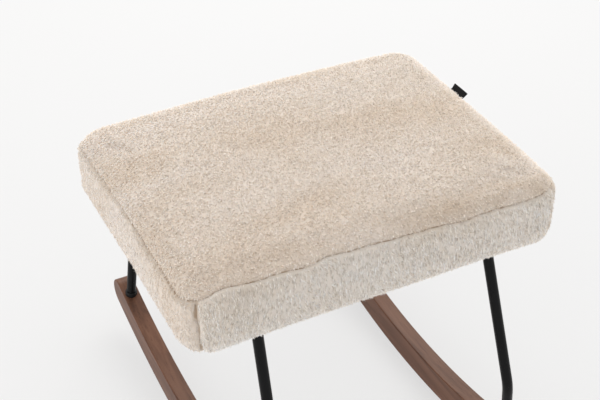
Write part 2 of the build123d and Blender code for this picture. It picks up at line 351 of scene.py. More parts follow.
# seat cover: one closed cushion in rings, so that the seams run along its edges
seat = {
    "width": 0.517,
    "depth": 0.386,
    "bottom": 0.342,
    "top": 0.443,
    "rise": 0.010,
    "corner": 0.042,
    "topRound": 0.028,
    "bottomRound": 0.022,
    "drawIn": 0.0015,
    "startInset": 0.0003,
    "underInset": 0.0012,
    "boardMargin": 0.030,
    "grid": 0.0050,
    "cornerSteps": 28,
    "ringsAbove": 14,
    "ringsBelow": 26,
    "crowdAbove": 1.5,
    "crowdBelow": 1.6,
    "unevenness": 0.0012,
    "hollowScale": (11, 19, 16),
    "hollowTilt": -0.3,
    "hollowFade": 0.02,
    "frontSag": 0.0056,
    "sagStart": 0.03,
    "sagFade": 0.05,
    "sagPower": 6,
    "sagShare": 0.75,
    "sagSlope": {"place": -0.05, "width": 0.08, "height": 0.25},
}

# seams: how far round the top edge each runs, in metres from where the edge starts to turn
seamLook = {
    "depth": 0.0030,
    "width": 0.0024,
    "farAway": 0.05,
    "front": 0.0255,
    "frontSlope": {"place": -0.020, "width": 0.090, "height": 0.0050},
    "frontHumps": (
        {"place": -0.208, "width": 0.022, "height": -0.0055},
        {"place": -0.107, "width": 0.016, "height": 0.0035},
        {"place": -0.080, "width": 0.014, "height": -0.0015},
        {"place": 0.106, "width": 0.020, "height": 0.0030},
        {"place": 0.240, "width": 0.025, "height": -0.0050},
    ),
    "frontWander": {"height": 0.0009, "scale": 90, "layer": 1.7},
    "frontPucker": {"height": 0.0006, "scale": 250, "layer": 5.3},
    "side": 0.0295,
    "sideWander": {"height": 0.0008, "scale": 50, "layer": 4.2},
    "back": 0.0280,
    "backWander": {"height": 0.0012, "scale": 40, "layer": 8.1},
    "cornerSeam": 0.018,
    "cornerLean": 0.007,
    "cornerFacing": (0.02, 0.98),
}


def limited(value):
    return max(0.0, min(1.0, value))


def bell(distance, width):
    return math.exp(-((distance / width) ** 2))


def slope(x, place, width, height):
    return height * math.tanh((x - place) / width)


def hump(x, place, width, height):
    return height * bell(x - place, width)


def wander(along, across, height, scale, layer):
    return height * noise.noise(Vector((along * scale, layer, across)))


def frontSeam(x):
    run = seamLook["front"] + slope(x, **seamLook["frontSlope"])
    for place in seamLook["frontHumps"]:
        run += hump(x, **place)
    return run + wander(x, 0, **seamLook["frontWander"]) + wander(x, 0, **seamLook["frontPucker"])


def seamRun(x, y, dirX, dirY):
    side = seamLook["side"] + wander(y, x, **seamLook["sideWander"])
    back = seamLook["back"] + wander(x, y, **seamLook["backWander"])
    return dirX * dirX * side + dirY * dirY * (frontSeam(x) if dirY < 0 else back)


def crownAt(x, y):
    radius = ((seat["width"] / 2) ** 2 + (seat["depth"] / 2) ** 2) / (2 * seat["rise"])
    return seat["top"] - (x * x + y * y) / (2 * radius)


def sectionRadii():
    inset = seat["startInset"]
    return seat["topRound"] - inset, seat["bottomRound"] - inset, seat["corner"] - inset


# a point of the cushion's section: s runs over the top edge, down the side and under
def sectionAt(s, topZ):
    r, rb, reach = sectionRadii()
    bottomZ = seat["bottom"] + seat["underInset"]
    top = topZ - seat["startInset"]
    flat, arc, arcLow = reach - r, r * math.pi / 2, rb * math.pi / 2
    side = top - r - bottomZ - rb
    if s < flat:
        return s, top
    s -= flat
    if s < arc:
        return flat + r * math.sin(s / r), top - r + r * math.cos(s / r)
    s -= arc
    if s < side:
        return reach, top - r - s
    s -= side
    if s < arcLow:
        return reach - rb + rb * math.cos(s / rb), bottomZ + rb - rb * math.sin(s / rb)
    return max(0.0, reach - rb - s + arcLow), bottomZ


def sectionLength(topZ):
    r, rb, reach = sectionRadii()
    side = topZ - seat["startInset"] - seat["bottom"] - seat["underInset"] - r - rb
    return 2 * reach - r - rb + (r + rb) * math.pi / 2 + side


# the sides draw in between the corners, and the lower front sags, more to the right
def settled(x, y, z):
    halfW, halfD = seat["width"] / 2, seat["depth"] / 2
    pullX = seat["drawIn"] * (1 - (y / halfD) ** 2) * x / halfW
    pullY = seat["drawIn"] * (1 - (x / halfW) ** 2) * y / halfD
    low = limited((seat["top"] - seat["sagStart"] - z) / seat["sagFade"])
    low *= max(0.0, -y / halfD) ** seat["sagPower"]
    sag = seat["frontSag"] * low * (seat["sagShare"] + slope(x, **seat["sagSlope"]))
    return x - pullX, y - pullY - sag / 2, z - sag


# columns round the rim: a place on the edge of the middle, and the way the column faces
def rimColumns(nx, ny):
    columns = []
    turn = seat["cornerSteps"]
    runs = [
        [(i, 0) for i in range(1, nx)],
        [(nx, j) for j in range(1, ny)],
        [(i, ny) for i in range(nx - 1, 0, -1)],
        [(0, j) for j in range(ny - 1, 0, -1)],
    ]
    ends = [(nx, 0), (nx, ny), (0, ny), (0, 0)]
    for run, facing, end in zip(runs, (-90, 0, 90, 180), ends):
        columns += [(place, facing) for place in run]
        columns += [(end, facing + 90 * k / turn) for k in range(turn + 1)]
    return columns


def buildCover():
    halfW, halfD = seat["width"] / 2, seat["depth"] / 2
    coreX, coreY = halfW - seat["corner"], halfD - seat["corner"]
    nx, ny = round(2 * coreX / seat["grid"]), round(2 * coreY / seat["grid"])
    number = {name: panel["number"] for name, panel in coverPanels.items()}
    verts, faces, panels, seamGap = [], [], [], []

    def addPoint(x, y, z, gap):
        verts.append(settled(x, y, z))
        seamGap.append(gap)
        return len(verts) - 1

    def middleAt(i, j):
        return -coreX + 2 * coreX * i / nx, -coreY + 2 * coreY * j / ny

    # the middle of the top, and its twin below
    topGrid, lowGrid = {}, {}
    for i in range(nx + 1):
        for j in range(ny + 1):
            x, y = middleAt(i, j)
            topGrid[i, j] = addPoint(x, y, crownAt(x, y) - seat["startInset"], seamLook["farAway"])
            lowGrid[i, j] = addPoint(x, y, seat["bottom"] + seat["underInset"], seamLook["farAway"])
    for i in range(nx):
        for j in range(ny):
            faces.append([topGrid[i, j], topGrid[i + 1, j], topGrid[i + 1, j + 1], topGrid[i, j + 1]])
            panels.append(number["topLeft" if i < nx / 2 else "topRight"])
            faces.append([lowGrid[i, j], lowGrid[i, j + 1], lowGrid[i + 1, j + 1], lowGrid[i + 1, j]])
            panels.append(number["under"])

    # the rim, with one ring on the seam and the others crowded towards it
    above, below = seat["ringsAbove"], seat["ringsBelow"]
    seamX = halfW - seamLook["cornerSeam"]
    tighter = (seat["topRound"] - seat["startInset"]) / seat["topRound"]
    facingLow, facingHigh = seamLook["cornerFacing"]
    rim = []
    for (i, j), facing in rimColumns(nx, ny):
        baseX, baseY = middleAt(i, j)
        dirX, dirY = math.cos(math.radians(facing)), math.sin(math.radians(facing))
        edgeX, edgeY = baseX + dirX * seat["corner"], baseY + dirY * seat["corner"]
        topZ = crownAt(edgeX, edgeY)
        total = sectionLength(topZ)
        seamAt = seat["corner"] - seat["topRound"] + seamRun(edgeX, edgeY, dirX, dirY) * tighter
        column = [topGrid[i, j]]
        for ring in range(1, above + below):
            if ring <= above:
                s = seamAt * (1 - (1 - ring / above) ** seat["crowdAbove"])
            else:
                s = seamAt + (total - seamAt) * ((ring - above) / below) ** seat["crowdBelow"]
            rho, z = sectionAt(s, topZ)
            gap = abs(s - seamAt)
            if s > seamAt and abs(edgeY) > coreY and facingLow < abs(dirX) < facingHigh:
                down = (s - seamAt) / (total - seamAt)
                gap = min(gap, abs(abs(edgeX) - seamX - seamLook["cornerLean"] * (0.5 - down)))
            column.append(addPoint(baseX + dirX * rho, baseY + dirY * rho, z, gap))
        column.append(lowGrid[i, j])
        rim.append((column, edgeX, edgeY))

    for k in range(len(rim)):
        (a, ax, ay), (b, bx, by) = rim[k], rim[(k + 1) % len(rim)]
        midX, midY = (ax + bx) / 2, (ay + by) / 2
        upper = "topLeft" if midX < 0 else "topRight"
        if abs(midX) < seamX and abs(midY) > coreY:
            around = "front" if midY < 0 else "back"
        else:
            around = "left" if midX < 0 else "right"
        for ring in range(above + below):
            quad = [a[ring], a[ring + 1], b[ring + 1], b[ring]]
            quad = [v for n, v in enumerate(quad) if v not in quad[:n]]
            if len(quad) > 2:
                faces.append(quad)
                panels.append(number[upper if ring < above else around])

    mesh = bpy.data.meshes.new("seat cover")
    mesh.from_pydata(verts, [], faces)
    mesh.update()
    mesh.attributes.new("panel", "INT", "FACE").data.foreach_set("value", panels)
    mesh.attributes.new("seamGap", "FLOAT", "POINT").data.foreach_set("value", seamGap)
    cover = bpy.data.objects.new("seatCover", mesh)
    scene.collection.objects.link(cover)
    return cover


def seamGapsOf(mesh):
    gaps = [0.0] * len(mesh.vertices)
    mesh.attributes["seamGap"].data.foreach_get("value", gaps)
    return gaps


# the foam presses the cover out between its seams
swellLook = {
    "cap": 0.0020,
    "frames": 20,
    "pressure": 4.0,
    "quality": 5,
    "mass": 0.3,
    "heldAtSeam": 0.001,
    "flatRoom": 0.0003,
}


def swellCover(cover):
    mesh = cover.data
    before = [v.co.copy() for v in mesh.vertices]
    gaps = seamGapsOf(mesh)
    boardX, boardY = seat["width"] / 2 - seat["boardMargin"], seat["depth"] / 2 - seat["boardMargin"]
    flatZ = seat["bottom"] + seat["underInset"] + swellLook["flatRoom"]

    def isHeld(v, gap):
        return gap < swellLook["heldAtSeam"] or (v.z < flatZ and abs(v.x) < boardX and abs(v.y) < boardY)

    held = cover.vertex_groups.new(name="held")
    held.add([n for n, v in enumerate(before) if isHeld(v, gaps[n])], 1.0, "REPLACE")
    cloth = cover.modifiers.new("swell", "CLOTH")
    cloth.settings.quality = swellLook["quality"]
    cloth.settings.mass = swellLook["mass"]
    cloth.settings.use_pressure = True
    cloth.settings.uniform_pressure_force = swellLook["pressure"]
    cloth.settings.vertex_group_mass = "held"
    cloth.settings.effector_weights.gravity = 0
    cloth.collision_settings.use_collision = False
    cloth.point_cache.frame_start, cloth.point_cache.frame_end = 1, swellLook["frames"]
    for step in range(1, swellLook["frames"] + 1):
        scene.frame_set(step)
    swollen = cover.evaluated_get(bpy.context.evaluated_depsgraph_get())
    after = [v.co.copy() for v in swollen.data.vertices]
    cover.modifiers.remove(cloth)
    cover.vertex_groups.clear()
    scene.frame_set(1)
    for vert, a, b in zip(mesh.vertices, before, after):
        move = b - a
        if move.length > swellLook["cap"]:
            move = move.normalized() * swellLook["cap"]
        vert.co = a + move
    mesh.update()
    print("cover pressed out by up to", max((b - a).length for a, b in zip(before, after)))


# each seam draws the cover into a narrow furrow, and the foam leaves it a little uneven
def sewCover(cover):
    mesh = cover.data
    normals = [v.normal.copy() for v in mesh.vertices]
    gaps = seamGapsOf(mesh)
    for vert, normal, gap in zip(mesh.vertices, normals, gaps):
        vert.co -= normal * seamLook["depth"] * bell(gap, seamLook["width"])
        if normal.z > seat["hollowTilt"]:
            hollow = noise.noise(Vector([c * scale for c, scale in zip(vert.co, seat["hollowScale"])]))
            vert.co += normal * seat["unevenness"] * hollow * min(1.0, gap / seat["hollowFade"])
    mesh.update()
    return normals, gaps


# pile: how it lies, and where it is combed smooth with painted light, pressed flat with painted shade, or
# left off;
# a tilt is how far the cover faces up there, from -1 to 1
pileLook = {
    "topTilt": 0.75,
    "topLie": (-0.35, -1.0, 0),
    "sideTilt": -0.6,
    "sideLie": (0, -0.3, -1.0),
    "sway": 0.6,
    "swayScale": 18,
    "swaySeed": 7,
    "edgeTilt": 0.3,
    "combedAndLit": 0.85,
    "topEdge": {"inset": 0.005, "width": 0.015},
    "sideEdge": {"inset": 0.004, "width": 0.010},
    "hem": 0.012,
    "hemLonger": 0.15,
    "pressedShadedStrip": {"place": -0.172, "width": 0.017, "height": 1.0},
    "pressedShadedShare": 0.55,
    "pressedShadedSlope": {"place": 0.02, "width": 0.06, "height": 0.45},
    "pressedShadedLevel": 0.6,
    "pressedShadedPatches": {"height": 1.1, "scale": (30, 60), "layer": 3.1},
    "seamRagged": 0.0022,
    "raggedScale": (210, 210, 60),
    "seamFade": 0.0024,
    "seamBare": {"front": 0.0001, "frontCorner": 0.0009, "other": -0.0007},
    "frontFacing": -0.35,
    "cornerTilt": 0.5,
    "cornerFacing": 0.25,
    "flatTilt": -0.8,
}

# where the rails cross the underside: each one's middle, and the room kept clear beside it
railCrossing = {"place": 0.162, "room": 0.022}


def pileLie(co, normal):
    if normal.z > pileLook["topTilt"]:
        lie = Vector(pileLook["topLie"])
    elif normal.z > pileLook["sideTilt"]:
        lie = Vector(pileLook["sideLie"])
    else:
        lie = Vector((-co.x, -co.y, 0)).normalized()
    lie += noise.noise_vector(co * pileLook["swayScale"]) * pileLook["sway"]
    lie -= normal * lie.dot(normal)
    return lie.normalized()


# smooth at the right and back edges of the top, on the left and right sides, at corners and by the hem, where
# the fur is painted lighter, a painted light at the edges
def combedAndLitAt(co, normal):
    halfW, halfD = seat["width"] / 2, seat["depth"] / 2
    if normal.z > pileLook["edgeTilt"]:
        edge = pileLook["topEdge"]
        inward = min(halfW - co.x, halfD - co.y)
        smooth = bell(max(0.0, inward - edge["inset"]), edge["width"])
    else:
        edge = pileLook["sideEdge"]
        smooth = bell(co.z - seat["bottom"], pileLook["hem"])
        smooth = max(smooth, bell(max(0.0, halfW - abs(co.x) - edge["inset"]), edge["width"]))
    return pileLook["combedAndLit"] * smooth


# pressed in patches along the front edge of the top, more to the right; the darkening there is partly pressed
# pile and partly painted shade where the top curves down to the front seam
def pressedAndShadedAt(co, normal):
    if normal.z <= pileLook["edgeTilt"]:
        return 0.0
    patches = pileLook["pressedShadedPatches"]
    scaleX, scaleY = patches["scale"]
    patchy = patches["height"] * noise.noise(Vector((co.x * scaleX, co.y * scaleY, patches["layer"])))
    strip = hump(co.y, **pileLook["pressedShadedStrip"])
    strip *= pileLook["pressedShadedShare"] + slope(co.x, **pileLook["pressedShadedSlope"])
    return limited(strip * (pileLook["pressedShadedLevel"] + patchy))


# none in the seams, under the board and at the rails, and longer at the hem
def furredAt(co, normal, gap):
    ragged = noise.noise(Vector([c * scale for c, scale in zip(co, pileLook["raggedScale"])]))
    bare = pileLook["seamBare"]["front" if normal.y < pileLook["frontFacing"] else "other"]
    if normal.z < pileLook["cornerTilt"] and abs(normal.x) > pileLook["cornerFacing"] and co.y < 0:
        bare = pileLook["seamBare"]["frontCorner"]
    thick = limited((gap - bare - pileLook["seamRagged"] * ragged) / pileLook["seamFade"])
    if normal.z < pileLook["flatTilt"]:
        outside = max(abs(co.x) - seat["width"] / 2, abs(co.y) - seat["depth"] / 2)
        atRail = abs(abs(co.x) - railCrossing["place"]) < railCrossing["room"]
        return 0.0 if outside < -seat["boardMargin"] or atRail else thick
    if co.z < seat["bottom"] + pileLook["hem"]:
        thick *= 1 + pileLook["hemLonger"] * (1 - max(0.0, co.z - seat["bottom"]) / pileLook["hem"])
    return thick


def layPile(cover, normals, gaps):
    mesh = cover.data
    noise.seed_set(pileLook["swaySeed"])
    points = list(zip([vert.co for vert in mesh.vertices], normals))
    lies = [c for co, normal in points for c in pileLie(co, normal)]
    mesh.attributes.new("pile", "FLOAT_VECTOR", "POINT").data.foreach_set("vector", lies)
    levels = {
        "furred": [furredAt(co, normal, gap) for (co, normal), gap in zip(points, gaps)],
        "pressed": [pressedAndShadedAt(co, normal) for co, normal in points],
        "combedAndLit": [combedAndLitAt(co, normal) for co, normal in points],
    }
    for name, values in levels.items():
        mesh.attributes.new(name, "FLOAT", "POINT").data.foreach_set("value", values)
    mesh.shade_smooth()


seatCover = buildCover()
print("seat cover has", len(seatCover.data.vertices), "points")
swellCover(seatCover)
layPile(seatCover, *sewCover(seatCover))
furKinds = ("lying", "side", "hanging")
furs = {kind: makeFur(kind) for kind in furKinds}
for kind in furKinds:
    seatCover.data.materials.append(furs[kind])
furSlot = {panel["number"]: furKinds.index(panel["fur"]) for panel in coverPanels.values()}
for polygon, panel in zip(seatCover.data.polygons, seatCover.data.attributes["panel"].data):
    polygon.material_index = furSlot[panel.value]
print("seat cover sewn")


# a node group with named inputs, and the identifier of each
def newGroup(name, inputs):
    tree = bpy.data.node_groups.new(name, "GeometryNodeTree")
    face = tree.interface
    face.new_socket("Geometry", in_out="INPUT", socket_type="NodeSocketGeometry")
    sockets = {}
    for kind, names in inputs.items():
        for inputName in names:
            socket = face.new_socket(inputName, in_out="INPUT", socket_type="NodeSocket" + kind)
            sockets[inputName] = socket.identifier
    face.new_socket("Geometry", in_out="OUTPUT", socket_type="NodeSocketGeometry")
    return tree, sockets, addNode(tree, "NodeGroupInput").outputs


# every group ends here: real faces with one finish
def finishGroup(tree, instances, material, flat=False):
    real = addNode(tree, "GeometryNodeRealizeInstances", {"Geometry": instances})
    if flat:
        real = addNode(tree, "GeometryNodeSetShadeSmooth", {
            "Geometry": real.outputs["Geometry"], "Shade Smooth": False,
        })
    dressed = addNode(tree, "GeometryNodeSetMaterial", {
        "Geometry": real.outputs["Geometry"], "Material": material,
    })
    addNode(tree, "NodeGroupOutput", {"Geometry": dressed.outputs["Geometry"]})


def growFromTree(source, name, tree, sockets, values):
    carrier = bpy.data.objects.new(name, source)
    scene.collection.objects.link(carrier)
    modifier = carrier.modifiers.new("nodes", "NODES")
    modifier.node_group = tree
    for inputName, value in values.items():
        modifier[sockets[inputName]] = value
    grown = carrier.evaluated_get(bpy.context.evaluated_depsgraph_get())
    mesh = bpy.data.meshes.new_from_object(grown)
    mesh.name = name
    carrier.modifiers.remove(modifier)
    carrier.data = mesh
    return carrier


# fur strands: a closed three-sided spike at each root, leaning with the pile
strandLook = {
    "spacing": 0.0014,
    "densest": 900000,
    "width": 0.0013,
    "scatter": 0.20,
    "seed": 11,
    "bareBelow": 0.05,
    "tuftDetail": 2.0,
    "clumpDip": (-0.35, -0.36),
    "sizes": (0.70, 1.20),
    "seamSizes": (0.65, 1.0),
    "combedSizes": (1.0, 0.72),
    "top": {
        "length": 0.0034, "stand": 0.65, "lean": 0.60,
        "tuft": (0.0038, 0.0036, 0.0036), "lift": 0.0032, "turn": 0.6, "clump": 1.0,
    },
    "side": {
        "length": 0.0042, "stand": 0.38, "lean": 0.85,
        "tuft": (0.0034, 0.0034, 0.0070), "lift": 0.0028, "turn": 0.7, "clump": 1.0,
    },
}


def buildStrandTree():
    tree, sockets, given = newGroup("fur strands", {
        "Int": ("Panel", "Seed"),
        "Float": (
            "Spacing", "Length", "Width", "Stand", "Lean", "Scatter", "Tuft Lift", "Tuft Turn", "Clump",
        ),
        "Vector": ("Tuft Scale",),
        "Material": ("Pile",),
    })

    def attribute(name, kind="FLOAT"):
        node = addNode(tree, "GeometryNodeInputNamedAttribute", {"Name": name}, data_type=kind)
        return node.outputs["Attribute"]

    def stored(geometry, name, value):
        return addNode(tree, "GeometryNodeStoreNamedAttribute", {
            "Geometry": geometry, "Name": name, "Value": value,
        }, data_type="FLOAT", domain="POINT").outputs["Geometry"]

    # roots, spread evenly over one panel, with none in its seams
    same = addNode(tree, "FunctionNodeCompare", {
        compareSockets["a"]: attribute("panel", "INT"), compareSockets["b"]: given["Panel"],
    }, data_type="INT", operation="EQUAL")
    roots = addNode(tree, "GeometryNodeDistributePointsOnFaces", {
        "Mesh": given["Geometry"],
        "Selection": same.outputs["Result"],
        "Distance Min": given["Spacing"],
        "Density Max": strandLook["densest"],
        "Density Factor": mathOn(tree, "GREATER_THAN", attribute("furred"), strandLook["bareBelow"]),
        "Seed": given["Seed"],
    }, distribute_method="POISSON")
    skin = roots.outputs["Normal"]

    # tufts: neighbouring strands rise, sink and turn together, and lean into clumps
    place = addNode(tree, "GeometryNodeInputPosition").outputs["Position"]
    scaled = vectorOn(tree, "MULTIPLY", place, given["Tuft Scale"])
    tufts = addNode(tree, "ShaderNodeTexNoise", {
        "Vector": scaled, "Scale": 1.0, "Detail": strandLook["tuftDetail"],
    })
    centred = vectorOn(tree, "SUBTRACT", tufts.outputs["Color"], (0.5, 0.5, 0.5))
    clumps = addNode(tree, "ShaderNodeTexVoronoi", {"Vector": scaled, "Scale": 1.0}, feature="F1")
    inward = vectorOn(tree, "SUBTRACT", clumps.outputs["Position"], scaled)
    dip = mathOn(tree, "MULTIPLY_ADD", clumps.outputs["Distance"], *strandLook["clumpDip"])
    height = mathOn(tree, "ADD", tufts.outputs["Fac"], dip)
    lift = mathOn(tree, "MULTIPLY", height, given["Tuft Lift"])

    # which way a strand points: off the cover, along the pile, and a little astray
    stray = addNode(tree, "FunctionNodeRandomValue", {
        "Min": (-1, -1, -1), "Max": (1, 1, 1), "Seed": given["Seed"],
    }, data_type="FLOAT_VECTOR").outputs[randomSockets["vector"]]
    way = vectorOn(tree, "SCALE", skin, given["Stand"])
    for pull, strength in (
        (attribute("pile", "FLOAT_VECTOR"), given["Lean"]),
        (stray, given["Scatter"]),
        (centred, given["Tuft Turn"]),
        (inward, given["Clump"]),
    ):
        way = vectorOn(tree, "ADD", way, vectorOn(tree, "SCALE", pull, strength))
    turn = addNode(tree, "FunctionNodeAlignRotationToVector", {"Vector": way}, axis="Z")

    # one strand, marked from root to tip
    strand = addNode(tree, "GeometryNodeMeshCone", {
        "Vertices": 3,
        "Radius Top": 0,
        "Radius Bottom": mathOn(tree, "MULTIPLY", given["Width"], 0.5),
        "Depth": given["Length"],
    }, fill_type="NGON")
    along = addNode(tree, "ShaderNodeSeparateXYZ", {0: place}).outputs["Z"]
    marked = stored(strand.outputs["Mesh"], "tip", mathOn(tree, "DIVIDE", along, given["Length"]))

    # sizes differ by chance, and strands are shorter at the seams and where they are combed
    chance = addNode(tree, "FunctionNodeRandomValue", {"Seed": given["Seed"]}, data_type="FLOAT")
    chance = chance.outputs[randomSockets["float"]]
    atSeam = rangeOn(tree, attribute("furred"), strandLook["seamSizes"], clamp=False)
    combedAndLit = rangeOn(tree, attribute("combedAndLit"), strandLook["combedSizes"])
    size = mathOn(tree, "MULTIPLY", rangeOn(tree, chance, strandLook["sizes"]), atSeam)
    size = mathOn(tree, "MULTIPLY", size, combedAndLit)

    # the tufts' height is kept as rise, for the painted shade of sunk tufts
    rooted = stored(stored(roots.outputs["Points"], "tuft", chance), "rise", height)
    raised = addNode(tree, "GeometryNodeSetPosition", {
        "Geometry": rooted, "Offset": vectorOn(tree, "SCALE", skin, lift),
    })
    grown = addNode(tree, "GeometryNodeInstanceOnPoints", {
        "Points": raised.outputs["Geometry"],
        "Instance": marked,
        "Rotation": turn.outputs["Rotation"],
        "Scale": size,
    })
    finishGroup(tree, grown.outputs["Instances"], given["Pile"], flat=True)
    return tree, sockets


strandTree, strandSockets = buildStrandTree()
furPieces = []
for panel in coverPanels.values():
    if not panel["strands"]:
        continue
    pile = strandLook["top" if panel["fur"] == "lying" else "side"]
    piece = growFromTree(seatCover.data.copy(), panel["strands"], strandTree, strandSockets, {
        "Panel": panel["number"],
        "Spacing": strandLook["spacing"],
        "Length": pile["length"],
        "Width": strandLook["width"],
        "Stand": pile["stand"],
        "Lean": pile["lean"],
        "Scatter": strandLook["scatter"],
        "Tuft Scale": tuple(1 / size for size in pile["tuft"]),
        "Tuft Lift": pile["lift"],
        "Tuft Turn": pile["turn"],
        "Clump": pile["clump"],
        "Seed": strandLook["seed"] + panel["number"],
        "Pile": furs[panel["fur"]],
    })
    furPieces.append(piece)
    print(panel["strands"], len(piece.data.polygons), "faces")

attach(seatCover, "root")
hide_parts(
    "cover_top_panel",
    "cover_front_boxing",
    "cover_back_boxing",
    "cover_left_boxing",
    "cover_right_boxing",
    "foam_block",
)
for piece in furPieces:
    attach(piece, "root")


def addPlainMesh(name, verts, faces):
    mesh = bpy.data.meshes.new(name)
    mesh.from_pydata(verts, [], faces)
    thing = bpy.data.objects.new(name, mesh)
    scene.collection.objects.link(thing)
    return thing


# faces of a grid whose points run first along its second side
def gridFaces(rows, columns):
    corners = [i * (columns + 1) + j for i in range(rows) for j in range(columns)]
    return [(a, a + 1, a + columns + 2, a + columns + 1) for a in corners]


def thicken(cloth, thickness):
    cloth.data.shade_smooth()
    wall = cloth.modifiers.new("thickness", "SOLIDIFY")
    wall.thickness = thickness
    wall.offset = 0


# label: a bare woven ribbon folded over and sewn into the right-hand seam
tagLook = {
    "place": 0.052,
    "length": 0.028,
    "root": 0.2498,
    "height": 0.4230,
    "sewn": 0.0036,
    "bend": 0.0030,
    "lift": 50.0,
    "twist": 22.0,
    "free": 0.0063,
    "gap": 0.0009,
    "ribbon": 0.0003,
    "flat": (0.0265, 0.028),
    "rows": 40,
    "columns": 20,
    "shader": {"Roughness": 0.8, "Specular IOR Level": 0.15, "Sheen Weight": 0.05},
    "ribs": {"Scale": 520.0, "Distortion": 0.6},
    "threads": {"Scale": 380.0},
    "tones": [(0.1, (0.006, 0.006, 0.0065)), (0.8, (0.014, 0.014, 0.015))],
    "bump": (0.4, 0.0002),
}


# the ribbon's middle line, out of the seam and up: a point and the way it faces there
def tagLine(s, lift):
    bend = tagLook["bend"]
    x, z = tagLook["root"] + min(s, tagLook["sewn"]), tagLook["height"]
    s = max(0.0, s - tagLook["sewn"])
    turned = min(lift, s / bend)
    x, z = x + bend * math.sin(turned), z + bend * (1 - math.cos(turned))
    s = max(0.0, s - bend * lift)
    return x + s * math.cos(turned), z + s * math.sin(turned), turned


def buildTag():
    rows, columns = tagLook["rows"], tagLook["columns"]
    fold = tagLook["gap"] / 2
    reach = tagLook["sewn"] + tagLook["bend"] * math.radians(tagLook["lift"]) + tagLook["free"]
    total = 2 * reach + math.pi * fold
    verts, uvs = [], []
    for i in range(rows + 1):
        s = total * i / rows
        for j in range(columns + 1):
            across = j / columns - 0.5
            lift = math.radians(tagLook["lift"] + tagLook["twist"] * across)
            x, z, turned = tagLine(min(s, total - s, reach), lift)
            around = math.pi / 2 - max(0.0, min(math.pi, (s - reach) / fold))
            side = turned + around
            x, z = x + fold * math.cos(side), z + fold * math.sin(side)
            verts.append((x, tagLook["place"] + across * tagLook["length"], z))
            uvs.append((s, across * tagLook["length"]))
    tag = addPlainMesh("labelTag", verts, gridFaces(rows, columns))
    layer = tag.data.uv_layers.new(name="ribbon")
    for loop in tag.data.loops:
        layer.data[loop.index].uv = uvs[loop.vertex_index]
    thicken(tag, tagLook["ribbon"])
    return tag


def makeRibbon():
    mat, tree, shader = newMaterial("woven ribbon", tagLook["shader"])
    cloth = addNode(tree, "ShaderNodeUVMap", uv_map="ribbon").outputs["UV"]

    def bands(direction, settings):
        inputs = {"Vector": cloth, **settings}
        wave = addNode(tree, "ShaderNodeTexWave", inputs, wave_type="BANDS", bands_direction=direction)
        return wave.outputs["Fac"]

    weave = mathOn(tree, "MULTIPLY", bands("X", tagLook["ribs"]), bands("Y", tagLook["threads"]))
    colourFrom(tree, shader, rampOn(tree, weave, tagLook["tones"]))
    bumpFrom(tree, shader, weave, *tagLook["bump"])
    return mat


labelTag = buildTag()
labelTag.data.materials.append(makeRibbon())
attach(labelTag, "root")
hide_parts("label_tag")
print("label sewn in")


# dust cover: black non-woven cloth stapled under the board, a little slack between its staples
dustLook = {
    "width": 0.445,
    "depth": 0.314,
    "height": 0.3415,
    "corner": 0.014,
    "slack": 0.00022,
    "slackScale": 22,
    "slackLayer": 3.0,
    "cloth": 0.0004,
    "cells": 72,
    "shader": {"Roughness": 0.9, "Specular IOR Level": 0.2, "Sheen Weight": 0.15},
    "fibreStretch": (1.0, 0.25, 1.0),
    "fibreTurn": (0, 0, 0.6),
    "fibres": {"scale": 900.0, "detail": 4.0, "distort": 1.2},
    "tones": [(0.35, (0.016, 0.016, 0.017)), (0.70, (0.040, 0.040, 0.042))],
    "bondScale": 620.0,
    "bondTones": [(0.15, (0.55, 0.55, 0.55)), (0.30, white)],
    "bump": (0.35, 0.0003),
}


def buildDustCover():
    halfW, halfD, corner = dustLook["width"] / 2, dustLook["depth"] / 2, dustLook["corner"]
    nx, ny = dustLook["cells"], round(dustLook["cells"] * dustLook["depth"] / dustLook["width"])
    scale = dustLook["slackScale"]
    verts = []
    for i in range(nx + 1):
        for j in range(ny + 1):
            x, y = halfW * (2 * i / nx - 1), halfD * (2 * j / ny - 1)
            overX, overY = abs(x) - (halfW - corner), abs(y) - (halfD - corner)
            if overX > 0 and overY > 0:
                pull = max(overX, overY) / math.hypot(overX, overY)
                x = math.copysign(halfW - corner + overX * pull, x)
                y = math.copysign(halfD - corner + overY * pull, y)
            puffed = noise.noise(Vector((x * scale, y * scale, dustLook["slackLayer"]))) * dustLook["slack"]
            verts.append((x, y, dustLook["height"] + puffed))
    dust = addPlainMesh("dustCover", verts, gridFaces(nx, ny))
    thicken(dust, dustLook["cloth"])
    return dust


def makeDustCloth():
    mat, tree, shader = newMaterial("non-woven cloth", dustLook["shader"])
    lengthwise = objectCoords(tree, scale=dustLook["fibreStretch"], turn=dustLook["fibreTurn"])
    fibres = rampOn(tree, noiseOn(tree, lengthwise, **dustLook["fibres"]), dustLook["tones"])
    bonds = addNode(tree, "ShaderNodeTexVoronoi", {
        "Vector": objectCoords(tree), "Scale": dustLook["bondScale"], "Randomness": 0.0,
    }, feature="F1", distance="CHEBYCHEV").outputs["Distance"]
    pressed = rampOn(tree, bonds, dustLook["bondTones"])
    colourFrom(tree, shader, mixColours(tree, 1.0, fibres, pressed, "MULTIPLY"))
    bumpFrom(tree, shader, bonds, *dustLook["bump"])
    return mat


# staples: flat bent wire set round a rounded path, left out where the rails cross it
stapleLook = {
    "inset": 0.007,
    "spacing": 0.036,
    "drop": 0.0009,
    "length": 0.010,
    "wire": 0.0011,
    "wireRound": 0.3,
    "wireSteps": 2,
    "cornerSteps": 6,
    "askew": 0.22,
    "seed": 5,
}


